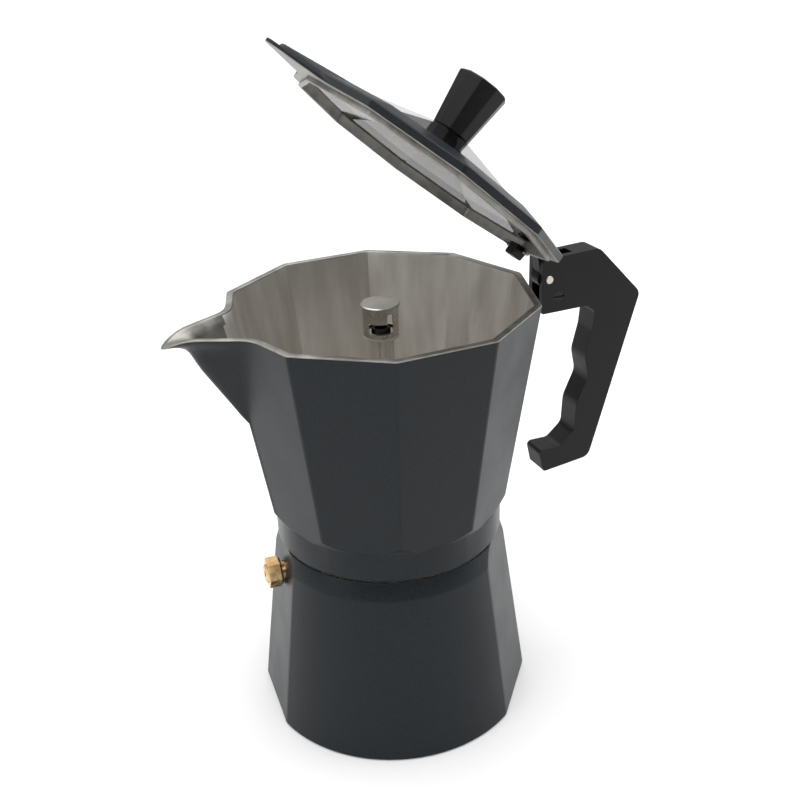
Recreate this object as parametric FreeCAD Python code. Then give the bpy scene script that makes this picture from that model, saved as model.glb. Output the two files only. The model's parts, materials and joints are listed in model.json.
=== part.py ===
import FreeCAD, Part
import math
import os

# Ten-sided stovetop moka pot, in millimetres. It stands on z = 0 about the Z axis,
# with the handle along +X and the spout along -X. The lid stands part open.

# Outline shared by the boiler, the collector, the lid and the knob
sides = 10
half_side = 180.0 / sides

# Boiler
foot_corner = 50.0            # corner radius at the foot
boiler_top_corner = 40.9      # corner radius where the taper ends
boiler_height = 67.5
boiler_wall = 2.8
boiler_floor = 4.0
boiler_turn = 13.0            # degrees between the boiler's and the collector's corners, screwed home
front_corner = 5              # the boiler's front is one smooth curve from this corner
front_sides = 3               # over this many sides
shoulder_r = 39.6             # turned bevel's radius at the top of the boiler
shoulder_drop = 6.2           # how far the bevel runs down each corner
foot_groove_r = 38.0          # shallow turned groove under the foot
foot_groove_inner_r = 22.0
foot_groove = 0.6
neck_r = 36.4
neck_wall = 3.2
neck_height = 12.5
thread_pitch = 3.0
thread_depth = 0.9
thread_clearance = 0.35
thread_runout = 1.4           # plain neck left at each end of the thread

# Collector
skirt_gap = 1.0               # open joint between the boiler and the collector's skirt
skirt_wall = 2.45
skirt_height = 12.3
collector_height = 84.5
rim_corner = 53.4
collector_base_corner = 42.2  # corner radius where the flats meet the skirt
base_bevel = 5.0
collector_wall = 2.5
collector_floor = 3.0
floor_rise = 5.5
floor_cone_r = 33.0
seat_land = 5.5               # flat land that the filter plate's edge bears on
column_r = 3.5
column_bore_r = 2.2
column_rib_r = 0.55
column_height = 53.2          # above the collector's floor
column_flange_r = 6.0
column_flange = 1.0
spigot_r = 3.3
spigot_height = 2.2

# Spout, measured from the pot's axis and down from the rim
spout_root_half_width = 14.5
spout_wall = 2.0
spout_lip_dip = 3.0
spout_lip_run = 11.6          # rim left level from its corner before the lip dips
spout_depth = 35.0
spout_reach = 15.6            # where the keel's straight part would meet the rim, past its corner
spout_keel_slope = 0.59
spout_flare = 5.2             # how far the tip reaches past that
spout_flare_depth = 5.5
spout_levels = 10
nose_steps = 8
spout_nose_r = 4.0
spout_foot_nose_r = 1.2

# Column cap
cap_height = 10.9
cap_r = 6.0
cap_wall = 0.8
cap_rim_r = 6.6
outlet_width = 8.0
outlet_height = 3.6
outlet_sill = 1.5
outlet_notch_width = 1.8
outlet_notch_height = 3.2
outlet_angle = -112.0

# Funnel, gasket and filter plate
funnel_flange = 1.0
funnel_flange_inset = 0.5     # flange's edge inside the neck's outside
funnel_wall = 0.8
funnel_fit = 0.5              # gap between the basket and the neck's bore
funnel_depth = 24.0
funnel_cone = 6.0
stem_r = 4.2
stem_clearance = 6.0          # stem's end above the boiler's floor
sieve_thickness = 0.6
sieve_hole_r = 1.1
gasket_thickness = 2.6
gasket_width = 7.85
gasket_fit = 0.3              # gap between the gasket and the skirt's bore
plate_thickness = 0.8
plate_fit = 2.15              # gap between the plate and the skirt's bore
plate_hole_r = 0.9
hole_pitch = 5.4

# Hinge and handle
pivot_reach = 8.8             # hinge pin past the rim's corner
pivot_drop = 3.0              # and below the rim
pin_r = 1.5
pin_clearance = 0.05
pin_proud = 0.3
eye_r = 3.4
arm_width = 4.6
side_clearance = 0.15
cheek = 2.3
slot_reach = 19.1             # these reaches are all past the rim's corner
lug_reach = 16.2
lug_top_drop = 7.0            # lug's top below the rim
lug_height = 5.4
handle_front_reach = 6.1
bridge_top_rise = 5.4         # bridge's top above the rim
bridge_height = 20.8
handle_back_reach = 47.4
handle_foot_drop = 79.3       # hook's underside below the rim
handle_foot_reach = 28.4
hook_reach = 6.4
grip_width = 12.5
screw_r = 1.5
screw_head_r = 2.2
screw_head = 1.2

# Lid
lid_open = 41.1               # degrees from closed
lid_gap = 0.3
lid_inset = 1.4               # lid's corner inside the rim's
lid_wall_height = 2.6
lid_crown_run = 11.0          # the sloping crown, from the lid's corner inwards
lid_crown_rise = 3.0
lid_shell = 1.1               # thickness of the sloping crown
lid_lip_inset = 2.8           # low lip that centres the lid inside the rim
lid_lip_width = 1.6
lid_lip_drop = 1.4
lip_notch_gap = 0.4           # gap between the lip's ends and the arm's foot
foot_thickness = 1.5          # of the arm's foot, which two screws hold up under the ring
block_drop = 4.4              # the arm's block hangs this far under the ring
block_reach = 3.2             # and reaches this far in under the window
window_inset = 5.2
window_wall = 1.6
window_edge = 1.0             # upright edge of the window
window_fit = 0.2
window_rise = 11.1
beak_overhang = 12.2          # beak past the rim's corner
beak_thickness = 1.3
beak_root_half_width = 11.5
beak_tip_half_width = 2.6
hood_length_share = 0.82      # raised hood on the beak, against the beak's own length and width
hood_width_share = 0.62
hood_height = 2.34

# Knob
knob_seat_r = 6.9
collar_r = 6.7
collar_height = 4.6
knob_base_corner = 6.8
knob_top_corner = 9.1
knob_height = 18.4
knob_edge = 1.0
knob_screw_r = 2.0
knob_screw_depth = 12.0
washer_r = 6.0
washer_thickness = 0.8

# Safety valve
valve_z = 56.0
valve_angle = 175.0
valve_flats = 9.6
valve_hex_length = 4.4
valve_nose_r = 3.7
valve_nose = 0.8
valve_nose_chamfer = 0.5
valve_shank_r = 3.4
valve_shank_end = 2.0         # shank past the wall's inner face
valve_seat_r = 6.2
valve_washer = 0.5
valve_chamber_r = 2.5
valve_stem_r = 0.9
valve_head_r = 2.2
valve_head = 1.4
valve_seat_depth = 1.6        # poppet's seat from the shank's inner end
valve_retainer_thickness = 0.9
valve_stem_proud = 0.3
valve_travel = 1.5
valve_wire_r = 0.25
valve_coils = 5

os.makedirs("parts", exist_ok=True)

neck_top = boiler_height + neck_height
skirt_z = boiler_height + skirt_gap
rim_z = skirt_z + collector_height
neck_bore_r = neck_r - neck_wall
funnel_flange_r = neck_r - funnel_flange_inset
thread_crest_r = neck_r + thread_depth
skirt_bore_r = thread_crest_r + thread_clearance
skirt_r = skirt_bore_r + skirt_wall
gasket_bore_r = skirt_bore_r - gasket_fit - gasket_width
plate_r = skirt_bore_r - plate_fit
spout_keel_reach = rim_corner + spout_reach
spout_lip_start = rim_corner + spout_lip_run
seat_bevel_r = plate_r - seat_land
pivot_x = rim_corner + pivot_reach
slot_end_x = rim_corner + slot_reach
lug_end_x = rim_corner + lug_reach
handle_front_x = rim_corner + handle_front_reach
handle_back_x = rim_corner + handle_back_reach
handle_foot_x = rim_corner + handle_foot_reach
hook_x = rim_corner + hook_reach
lid_corner = rim_corner - lid_inset
lid_crown_corner = lid_corner - lid_crown_run
lid_lip_corner = lid_corner - lid_lip_inset
lid_lip_inner = lid_lip_corner - lid_lip_width
window_corner = lid_corner - window_inset
beak_reach = rim_corner + beak_overhang
foot_half_width = arm_width * 1.6
gasket_z = neck_top + funnel_flange
plate_z = gasket_z + gasket_thickness
ceiling_z = plate_z + plate_thickness
floor_z = ceiling_z + collector_floor
column_top = floor_z + column_height
pivot_z = rim_z - pivot_drop
slot_width = arm_width + 2 * side_clearance
handle_width = slot_width + 2 * cheek
lid_z = rim_z + lid_gap
flat = math.cos(math.radians(half_side))


def vec(x, y, z):
    return FreeCAD.Vector(x, y, z)


def corners(corner_r, z, turn=0.0):
    """The ten corners of the outline at one height."""
    ring = []
    for k in range(sides):
        a = math.radians(turn + k * 2 * half_side)
        ring.append(vec(corner_r * math.cos(a), corner_r * math.sin(a), z))
    return ring


def solid_from_faces(faces):
    shell = Part.makeShell(faces)
    shell.sewShape()
    solid = Part.makeSolid(shell)
    if solid.Volume < 0:
        solid.reverse()
    return solid


def faceted(profile, turn=0.0, hollow=False):
    """A ten-sided solid through (corner radius, height) pairs: stacked, or closed on itself as a ring."""
    rings = [corners(r, z, turn) for r, z in profile]
    faces = []
    spans = len(rings) if hollow else len(rings) - 1
    for i in range(spans):
        low = rings[i]
        high = rings[(i + 1) % len(rings)]
        for k in range(sides):
            n = (k + 1) % sides
            faces.append(Part.Face(Part.makePolygon([low[k], low[n], high[n], high[k], low[k]])))
    if not hollow:
        faces.append(Part.Face(Part.makePolygon(rings[0] + rings[0][:1])))
        faces.append(Part.Face(Part.makePolygon(rings[-1] + rings[-1][:1])))
    return solid_from_faces(faces)


def turned(outline):
    """A solid of revolution about Z from a closed (radius, height) outline."""
    points = [vec(r, 0, z) for r, z in outline]
    face = Part.Face(Part.makePolygon(points + points[:1]))
    return face.revolve(vec(0, 0, 0), vec(0, 0, 1), 360)


def cylinder(radius, length, base=(0, 0, 0), axis=(0, 0, 1)):
    return Part.makeCylinder(radius, length, vec(*base), vec(*axis))


def box(low, high):
    size = [b - a for a, b in zip(low, high)]
    return Part.makeBox(size[0], size[1], size[2], vec(*low))


def plate_xz(wire, width):
    """A closed outline in the XZ plane, thickened evenly to both sides of y = 0."""
    face = Part.Face(wire)
    face.translate(vec(0, -width / 2, 0))
    return face.extrude(vec(0, width, 0))


def rounded_outline(points):
    """A closed XZ outline through (x, z, corner radius) points, with tangent arcs at the corners."""
    edges = []
    ends = []
    count = len(points)
    for i in range(count):
        x, z, r = points[i]
        here = vec(x, 0, z)
        back = vec(points[i - 1][0], 0, points[i - 1][1]) - here
        ahead = vec(points[(i + 1) % count][0], 0, points[(i + 1) % count][1]) - here
        back.normalize()
        ahead.normalize()
        half = back.getAngle(ahead) / 2
        run = r / math.tan(half)
        bisector = back + ahead
        bisector.normalize()
        middle = here + bisector * (r / math.sin(half) - r)
        ends.append((here + back * run, middle, here + ahead * run))
    for i in range(count):
        start, middle, end = ends[i]
        edges.append(Part.Arc(start, middle, end).toShape())
        edges.append(Part.LineSegment(end, ends[(i + 1) % count][0]).toShape())
    return Part.Wire(edges)


def joined(shapes):
    result = shapes[0]
    for shape in shapes[1:]:
        result = result.fuse(shape)
    return result.removeSplitter()


def write(name, shape):
    shape.exportStep("parts/" + name + ".step")
    solids = len(shape.Solids)
    print(name, "solids", solids, "valid", shape.isValid(), "volume", round(shape.Volume, 1))


def hole_grid(radius, limit, pitch, low, high):
    """Drills on a hexagonal grid inside a circle."""
    drills = []
    rows = int(limit / (pitch * math.sqrt(3) / 2)) + 1
    for row in range(-rows, rows + 1):
        y = row * pitch * math.sqrt(3) / 2
        shift = pitch / 2 if row % 2 else 0.0
        columns = int(limit / pitch) + 1
        for column in range(-columns, columns + 1):
            x = column * pitch + shift
            if math.hypot(x, y) + radius < limit:
                drills.append(cylinder(radius, high - low, (x, y, low)))
    return Part.makeCompound(drills)


# ---- boiler: cast ten-sided water chamber with a turned, threaded neck ----

def boiler_corner(z):
    return foot_corner + (boiler_top_corner - foot_corner) * z / boiler_height


def boiler_outline(corner_r, z):
    """Flat sides all round but for the front, where an arc runs through the corners."""
    ring = corners(corner_r, z, boiler_turn)
    last = front_corner + front_sides
    middle = math.radians(boiler_turn + (front_corner + last) * half_side)
    top_of_arc = vec(corner_r * math.cos(middle), corner_r * math.sin(middle), z)
    edges = [Part.Arc(ring[front_corner], top_of_arc, ring[last % sides]).toShape()]
    for k in range(last, front_corner + sides):
        edges.append(Part.LineSegment(ring[k % sides], ring[(k + 1) % sides]).toShape())
    return Part.Wire(edges)


def make_boiler():
    outlines = [boiler_outline(foot_corner, 0), boiler_outline(boiler_top_corner, boiler_height)]
    block = Part.makeLoft(outlines, True, True)
    bevel_z = boiler_height - shoulder_drop
    bevel_r = boiler_corner(bevel_z)
    slope = (bevel_r - shoulder_r) / shoulder_drop
    envelope = turned([
        (0, 0), (bevel_r + slope * bevel_z, 0), (shoulder_r, boiler_height), (0, boiler_height),
    ])
    block = block.common(envelope)
    neck = cylinder(neck_r, neck_height + boiler_wall, (0, 0, boiler_height - boiler_wall))
    seat = at_valve(cylinder(valve_seat_r, valve_face() - neck_bore_r, (neck_bore_r, 0, 0), (1, 0, 0)))
    body = joined([block, neck, seat])
    inner_top = boiler_height - boiler_wall * 2
    inset = boiler_wall / flat
    cavity = faceted([
        (foot_corner - inset, boiler_floor), (boiler_corner(inner_top) - inset, inner_top),
    ], boiler_turn)
    bore = cylinder(neck_bore_r, neck_top, (0, 0, inner_top - 1))
    groove = cylinder(foot_groove_r, foot_groove).cut(cylinder(foot_groove_inner_r, foot_groove))
    body = body.cut(cavity).cut(bore).cut(groove)
    drill = at_valve(cylinder(valve_shank_r, valve_face(), (neck_bore_r - 4, 0, 0), (1, 0, 0)))
    body = body.cut(drill)
    return body.fuse(make_thread())


def make_thread():
    """One helical ridge up the neck, clear of both ends."""
    length = neck_height - 2 * thread_runout
    root = thread_pitch * 0.32
    crest = thread_pitch * 0.12
    sink = 0.3
    turns = length - 2 * root
    path = Part.Wire(Part.makeHelix(thread_pitch, turns, neck_r).Edges)
    section = [
        vec(neck_r - sink, 0, -root),
        vec(neck_r + thread_depth, 0, -crest),
        vec(neck_r + thread_depth, 0, crest),
        vec(neck_r - sink, 0, root),
    ]
    ridge = path.makePipeShell([Part.makePolygon(section + section[:1])], True, True)
    ridge.translate(vec(0, 0, boiler_height + thread_runout + root))
    return ridge


# ---- safety valve, built along +X and turned into place on one facet ----

def valve_face():
    """Distance from the pot's axis to the flat seat that the valve's washer bears on."""
    return boiler_corner(valve_z - valve_seat_r) * flat + 0.2


def valve_inner():
    return boiler_corner(valve_z) * flat - boiler_wall - valve_shank_end


def at_valve(shape):
    shape.translate(vec(0, 0, valve_z))
    shape.rotate(vec(0, 0, 0), vec(0, 0, 1), valve_angle)
    return shape


def make_valve():
    washer_end = valve_face() + valve_washer
    hex_end = washer_end + valve_hex_length
    nose_end = hex_end + valve_nose
    seat = valve_inner() + valve_seat_depth
    washer = cylinder(valve_flats / 2, valve_washer, (valve_face(), 0, 0), (1, 0, 0))
    washer = washer.cut(cylinder(valve_shank_r, valve_washer, (valve_face(), 0, 0), (1, 0, 0)))
    hex_points = []
    for k in range(7):
        a = math.radians(60 * k)
        r = valve_flats / 2 / math.cos(math.radians(30))
        hex_points.append(vec(washer_end, r * math.cos(a), r * math.sin(a)))
    hexagon = Part.Face(Part.makePolygon(hex_points)).extrude(vec(valve_hex_length, 0, 0))
    shank = cylinder(valve_shank_r, washer_end - valve_inner(), (valve_inner(), 0, 0), (1, 0, 0))
    nose_end_r = valve_nose_r - valve_nose_chamfer
    nose = Part.makeCone(valve_nose_r, nose_end_r, valve_nose, vec(hex_end, 0, 0), vec(1, 0, 0))
    body = joined([hexagon, shank, nose])
    body = body.cut(cylinder(valve_chamber_r, nose_end - seat, (seat, 0, 0), (1, 0, 0)))
    body = body.cut(cylinder(valve_head_r - 0.8, nose_end, (valve_inner() - 1, 0, 0), (1, 0, 0)))
    retainer_start = nose_end - valve_retainer_thickness
    retainer = cylinder(valve_chamber_r, valve_retainer_thickness, (retainer_start, 0, 0), (1, 0, 0))
    retainer = retainer.cut(cylinder(valve_stem_r + 0.15, 2, (retainer_start - 0.5, 0, 0), (1, 0, 0)))
    head = cylinder(valve_head_r, valve_head, (seat, 0, 0), (1, 0, 0))
    stem = cylinder(valve_stem_r, nose_end + valve_stem_proud - seat, (seat, 0, 0), (1, 0, 0))
    poppet = joined([head, stem])
    gap = 0.1
    coil_start = seat + valve_head + valve_wire_r + gap
    coil_end = retainer_start - valve_wire_r - gap
    coil_r = (valve_stem_r + valve_chamber_r) / 2
    coil_length = coil_end - coil_start
    helix = Part.Wire(Part.makeHelix(coil_length / valve_coils, coil_length, coil_r).Edges)
    ring = Part.makeCircle(valve_wire_r, vec(coil_r, 0, 0), vec(0, 1, 0))
    spring = helix.makePipeShell([Part.Wire([ring])], True, True)
    spring.rotate(vec(0, 0, 0), vec(0, 1, 0), 90)
    spring.translate(vec(coil_start, 0, 0))
    return at_valve(body), at_valve(washer), at_valve(poppet), at_valve(spring), at_valve(retainer)


# ---- funnel with its sieve, gasket and filter plate ----

def make_funnel():
    basket_r = neck_bore_r - funnel_fit
    floor = neck_top - funnel_depth
    tip = boiler_floor + stem_clearance
    outer = [
        (0, tip), (stem_r, tip), (stem_r, floor - funnel_cone), (basket_r - 2, floor),
        (basket_r, floor + 2), (basket_r, neck_top), (funnel_flange_r, neck_top),
        (funnel_flange_r, neck_top + funnel_flange), (0, neck_top + funnel_flange),
    ]
    w = funnel_wall
    inner = [
        (0, tip - 1), (stem_r - w, tip - 1), (stem_r - w, floor - funnel_cone + w),
        (basket_r - 2 - w, floor + w), (basket_r - w, floor + 2 + w),
        (basket_r - w, neck_top + funnel_flange + 1), (0, neck_top + funnel_flange + 1),
    ]
    return turned(outer).cut(turned(inner))


def make_sieve():
    z = neck_top - funnel_depth + 2 + funnel_wall
    r = neck_bore_r - funnel_fit - funnel_wall
    disc = cylinder(r, sieve_thickness, (0, 0, z))
    return disc.cut(hole_grid(sieve_hole_r, r - 2.5, hole_pitch, z - 1, z + 2))


def make_gasket():
    outer_r = skirt_bore_r - gasket_fit
    ring = cylinder(outer_r, gasket_thickness, (0, 0, gasket_z))
    return ring.cut(cylinder(gasket_bore_r, gasket_thickness, (0, 0, gasket_z)))


def make_filter_plate():
    disc = cylinder(plate_r, plate_thickness, (0, 0, plate_z))
    return disc.cut(hole_grid(plate_hole_r, gasket_bore_r - 2, hole_pitch, plate_z - 1, plate_z + 2))


# ---- collector: upper vessel with skirt, spout, column and hinge lug ----

def collector_corner(z):
    low = skirt_z + skirt_height
    return collector_base_corner + (rim_corner - collector_base_corner) * (z - low) / (rim_z - low)


def spout_section(depth, lift, thin, back):
    """One level cut through the spout: two straight sides running into a round nose."""
    z = rim_z - depth + lift
    share = (spout_depth - depth) / spout_depth
    flare = spout_flare * math.exp(-((depth / spout_flare_depth) ** 2))
    nose = spout_keel_reach - spout_keel_slope * depth + flare
    r = spout_foot_nose_r + (spout_nose_r - spout_foot_nose_r) * share
    width = max(spout_root_half_width * share - thin, spout_foot_nose_r)
    r = min(r - thin / 2, width * 0.6)
    root_x = collector_corner(min(z, rim_z)) - width * math.tan(math.radians(half_side)) - thin / 2
    centre_x = nose - thin / 2 - r
    reach = math.hypot(centre_x - root_x, width)
    touch = math.atan2(width, root_x - centre_x) - math.acos(r / reach)
    side = [vec(-back, width, z), vec(-root_x, width, z)]
    for i in range(nose_steps + 1):
        a = touch * (1 - 2 * i / nose_steps)
        side.append(vec(-centre_x - r * math.cos(a), r * math.sin(a), z))
    return side + [vec(-root_x, -width, z), vec(-back, -width, z)]


def stacked(levels):
    """A solid through stacked outlines with the same number of points, in flat triangles."""
    faces = []
    for low, high in zip(levels, levels[1:]):
        for k in range(len(low)):
            n = (k + 1) % len(low)
            faces.append(Part.Face(Part.makePolygon([low[k], low[n], high[n], low[k]])))
            faces.append(Part.Face(Part.makePolygon([low[k], high[n], high[k], low[k]])))
    for ring in (levels[0], levels[-1]):
        faces.append(Part.Face(Part.makePolygon(ring + ring[:1])))
    return solid_from_faces(faces)


def make_spout():
    """The spout's outside and the channel inside it."""
    back = collector_corner(rim_z - spout_depth) * flat - 1.5
    depths = [spout_depth * (1 - i / (spout_levels - 1)) ** 1.6 for i in range(spout_levels)]
    outside = stacked([spout_section(d, 0, 0, back) for d in depths])
    lift = spout_wall * 1.3
    channel = stacked([spout_section(d, lift, spout_wall, back - 6) for d in depths])
    far = spout_keel_reach + spout_flare + 5
    dip = Part.makePolygon([
        vec(-spout_lip_start, 0, rim_z), vec(-far, 0, rim_z - spout_lip_dip * 1.4),
        vec(-far, 0, rim_z + 9), vec(-spout_lip_start, 0, rim_z + 9), vec(-spout_lip_start, 0, rim_z),
    ])
    return outside.cut(plate_xz(dip, 4 * spout_root_half_width)), channel


def make_collector():
    base_z = skirt_z + skirt_height
    start_z = base_z - 2.0
    vessel = faceted([(collector_corner(start_z), start_z), (rim_corner, rim_z)])
    low_bevel_r = skirt_r
    high_bevel_r = skirt_r + base_bevel * 0.7
    envelope = turned([
        (0, start_z), (low_bevel_r, start_z), (low_bevel_r, base_z - 2),
        (high_bevel_r, base_z - 2 + base_bevel),
        (2 * rim_corner, base_z - 2 + base_bevel + (2 * rim_corner - high_bevel_r) * 0.8),
        (2 * rim_corner, rim_z + 1), (0, rim_z + 1),
    ])
    vessel = vessel.common(envelope)
    skirt = cylinder(skirt_r, floor_z - skirt_z, (0, 0, skirt_z))
    spout, channel = make_spout()
    body = joined([vessel, skirt, spout, make_lug()])
    inset = collector_wall / flat
    cavity = faceted([
        (collector_corner(floor_z) - inset, floor_z), (collector_corner(rim_z + 2) - inset, rim_z + 2),
    ])
    body = body.cut(cavity).cut(channel)
    body = body.cut(cylinder(skirt_bore_r, ceiling_z - skirt_z, (0, 0, skirt_z)))
    cone_top = floor_z + floor_rise
    mound = turned([(0, floor_z - 1), (floor_cone_r, floor_z - 1), (floor_cone_r, floor_z),
                    (column_r + 1, cone_top), (0, cone_top)])
    column = cylinder(column_r, column_top - floor_z, (0, 0, floor_z))
    ribs = []
    for k in range(sides):
        a = math.radians(k * 2 * half_side + half_side)
        ribs.append(cylinder(column_rib_r, column_height - column_flange, (column_r * math.cos(a),
                             column_r * math.sin(a), floor_z)))
    flange = cylinder(column_flange_r, column_flange, (0, 0, column_top - column_flange))
    spigot = cylinder(spigot_r, spigot_height, (0, 0, column_top))
    body = joined([body, mound, column, flange, spigot] + ribs)
    under = turned([(0, ceiling_z - 1), (seat_bevel_r, ceiling_z - 1), (seat_bevel_r, ceiling_z),
                    (column_bore_r, cone_top - collector_floor), (0, cone_top - collector_floor)])
    bore = cylinder(column_bore_r, column_height + spigot_height + collector_floor + 5, (0, 0, ceiling_z))
    body = body.cut(under).cut(bore)
    drill = cylinder(screw_r, handle_width, (screw_x(), -handle_width / 2, screw_z()), (0, 1, 0))
    return body.cut(drill)


def screw_x():
    return lug_end_x - lug_height / 2 - 0.8


def screw_z():
    return rim_z - lug_top_drop - lug_height / 2


def make_lug():
    """Cast tongue at the handle's corner, under the hinge."""
    top = rim_z - lug_top_drop
    outline = rounded_outline([
        (rim_corner - 6, top - lug_height, 0.5),
        (lug_end_x, top - lug_height, 0.8),
        (lug_end_x, top, 0.8),
        (rim_corner + 4.6, top, 1.5),
        (rim_corner + 2.6, top + 3.4, 1.0),
        (rim_corner - 6, top + 3.4, 0.5),
    ])
    return plate_xz(outline, arm_width)


def make_column_cap():
    top = column_top + cap_height
    can = cylinder(cap_r, cap_height, (0, 0, column_top))
    rim = turned([(0, top - 1.1), (cap_r, top - 1.1), (cap_rim_r, top - 0.8), (cap_rim_r, top - 0.3),
                  (cap_rim_r - 0.3, top), (0, top)])
    hollow = cylinder(cap_r - cap_wall, cap_height - 2 * cap_wall, (0, 0, column_top + cap_wall))
    spigot = cylinder(spigot_r, spigot_height + 1, (0, 0, column_top))
    cap = joined([can, rim]).cut(hollow).cut(spigot)
    half = outlet_width / 2
    low = column_top + outlet_sill
    slot = box((0, -half, low), (cap_r + 2, half, low + outlet_height))
    notch_top = low + outlet_height + outlet_notch_height
    notch = box((0, half - outlet_notch_width, low), (cap_r + 2, half, notch_top))
    cutter = slot.fuse(notch)
    for turn in (outlet_angle, outlet_angle + 180):
        tool = cutter.copy()
        tool.rotate(vec(0, 0, 0), vec(0, 0, 1), turn)
        cap = cap.cut(tool)
    return cap


# ---- handle, its screw and the hinge pin ----

def make_handle():
    top = rim_z + bridge_top_rise
    under = top - bridge_height
    foot = rim_z - handle_foot_drop
    knee_z = rim_z - 14.0
    grip_top_x = handle_back_x - 20.2
    outline = rounded_outline([
        (handle_front_x, under, 0.6),
        (handle_front_x, top - 0.8, 1.5),
        (handle_foot_x + 0.6, top, 4.0),
        (handle_back_x, knee_z, 3.5),
        (handle_foot_x, foot + 1.9, 4.0),
        (hook_x + 2.0, foot, 1.5),
        (hook_x, foot + 9.4, 1.6),
        (handle_foot_x - grip_width - 0.6, foot + 9.2, 3.0),
        (handle_foot_x - 7.0, foot + 14.5, 4.0),
        (handle_foot_x - 6.4, foot + 25.5, 9.0),
        (grip_top_x - 0.6, foot + 35.5, 6.0),
        (grip_top_x - 2.4, foot + 44.0, 7.0),
        (grip_top_x + 0.2, foot + 54.0, 9.0),
        (grip_top_x + 0.9, under - 2.6, 1.6),
        (grip_top_x - 2.2, under, 1.6),
    ])
    body = plate_xz(outline, handle_width)
    slot_floor = screw_z() - lug_height / 2 - side_clearance
    slot = box((handle_front_x - 1, -slot_width / 2, slot_floor), (slot_end_x, slot_width / 2, top + 1))
    body = body.cut(slot)
    body = body.cut(cylinder(pin_r, handle_width, (pivot_x, -handle_width / 2, pivot_z), (0, 1, 0)))
    body = body.cut(cylinder(screw_r, handle_width, (screw_x(), -handle_width / 2, screw_z()), (0, 1, 0)))
    return body.cut(cylinder(screw_head_r, screw_head, (screw_x(), -handle_width / 2, screw_z()), (0, 1, 0)))


def make_handle_screw():
    y = -handle_width / 2
    shaft = cylinder(screw_r, handle_width - screw_head, (screw_x(), y + screw_head, screw_z()), (0, 1, 0))
    head = cylinder(screw_head_r, screw_head, (screw_x(), y, screw_z()), (0, 1, 0))
    slot = box((screw_x() - 3, y - 1, screw_z() - 0.3), (screw_x() + 3, y + 0.5, screw_z() + 0.3))
    return joined([shaft, head]).cut(slot)


def make_hinge_pin():
    length = handle_width + 2 * pin_proud
    pin = cylinder(pin_r, length, (pivot_x, -length / 2, pivot_z), (0, 1, 0))
    rims = [edge for edge in pin.Edges if edge.Closed]
    return pin.makeChamfer(pin_proud * 0.8, rims)


# ---- lid, built closed and then turned open about the hinge pin ----

def opened(shape):
    shape.rotate(vec(pivot_x, 0, pivot_z), vec(0, 1, 0), lid_open)
    return shape


def crown_z(corner_r):
    """Height of the lid ring's sloping top at a corner radius."""
    run = (lid_corner - corner_r) / (lid_corner - lid_crown_corner)
    return lid_z + lid_wall_height + lid_crown_rise * run


def make_lid_ring():
    pocket = window_corner + window_fit
    ring = faceted([
        (lid_corner, lid_z), (lid_corner, lid_z + lid_wall_height),
        (lid_crown_corner, crown_z(lid_crown_corner)),
        (lid_crown_corner, crown_z(lid_crown_corner) - lid_shell), (pocket, crown_z(pocket) - lid_shell),
        (lid_lip_inner, lid_z + lid_wall_height - lid_shell), (lid_lip_inner, lid_z - lid_lip_drop),
        (lid_lip_corner, lid_z - lid_lip_drop), (lid_lip_corner, lid_z),
    ], 0.0, True)
    start = lid_corner * flat - 0.3
    mid = (start + beak_reach) / 2 + 3
    points = [
        (-start, beak_root_half_width), (-mid, beak_root_half_width * 0.72),
        (-beak_reach + 1.5, beak_tip_half_width + 1),
        (-beak_reach, beak_tip_half_width - 1),
    ]
    mirrored = [(x, -y) for x, y in reversed(points)]
    plan = [vec(x, y, lid_z) for x, y in points + mirrored]
    beak = Part.Face(Part.makePolygon(plan + plan[:1])).extrude(vec(0, 0, beak_thickness))
    hood_points = []
    for x, y in points + mirrored:
        hood_points.append(vec((x + start) * hood_length_share - start, y * hood_width_share, lid_z))
    hood = Part.Face(Part.makePolygon(hood_points + hood_points[:1])).extrude(vec(0, 0, hood_height))
    ring = joined([ring, beak, hood])
    notch_in = window_corner - 3
    slot = box((notch_in, -slot_width / 2, lid_z - lid_lip_drop - 1),
               (lid_corner + 1, slot_width / 2, lid_z + arm_depth() + side_clearance))
    gap_half = foot_half_width + lip_notch_gap
    gap = box((notch_in, -gap_half, lid_z - lid_lip_drop - 1), (lid_corner + 1, gap_half, lid_z))
    ring = ring.cut(slot).cut(gap)
    for y in (-foot_screw_y(), foot_screw_y()):
        ring = ring.cut(cylinder(foot_screw_r(), 1.6, (foot_screw_x(), y, lid_z - 0.1)))
    return ring


def arm_depth():
    return lid_wall_height - 0.8


def foot_screw_r():
    return arm_width * 0.15


def foot_screw_y():
    return arm_width * 1.15


def foot_screw_x():
    return foot_middle() - foot_screw_y() * math.tan(math.radians(half_side))


def foot_inner():
    return window_corner + 0.8


def foot_outer():
    return rim_corner - collector_wall / flat - 1.2


def foot_middle():
    return (foot_inner() + foot_outer()) / 2


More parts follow.
